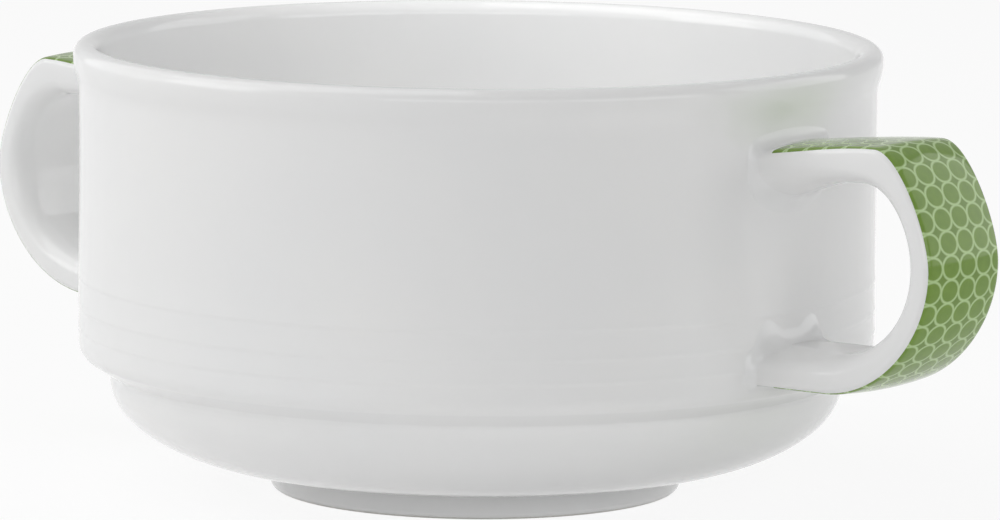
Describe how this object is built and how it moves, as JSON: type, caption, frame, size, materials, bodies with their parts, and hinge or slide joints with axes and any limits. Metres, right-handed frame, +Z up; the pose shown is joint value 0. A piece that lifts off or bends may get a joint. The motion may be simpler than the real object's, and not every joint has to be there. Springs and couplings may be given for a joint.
{
  "type": "cream soup cup",
  "caption": "Stackable porcelain soup cup with a straight wall, stepped shoulder and foot ring, and strap handles on opposite sides that carry a printed band.",
  "frame": {"origin": "centre of the standing face, at the bottom of the foot ring", "axes": "+Z up along the cup's axis; +X through the middle of the right handle, so both handles lie along X; +Y towards the back"},
  "size_m": [0.1604, 0.106, 0.0587],
  "materials": {
    "porcelain_glaze": "gloss",
    "luted_joint_glaze": "gloss",
    "decal_print": "gloss"
  },
  "bodies": {
    "root": {"cup_body": "porcelain_glaze", "handle_right": "porcelain_glaze", "handle_left": "porcelain_glaze", "slip_joint_upper_right": "luted_joint_glaze", "slip_joint_lower_right": "luted_joint_glaze", "slip_joint_upper_left": "luted_joint_glaze", "slip_joint_lower_left": "luted_joint_glaze", "decal_band_right": "decal_print", "decal_band_left": "decal_print"}
  },
  "joints": []
}
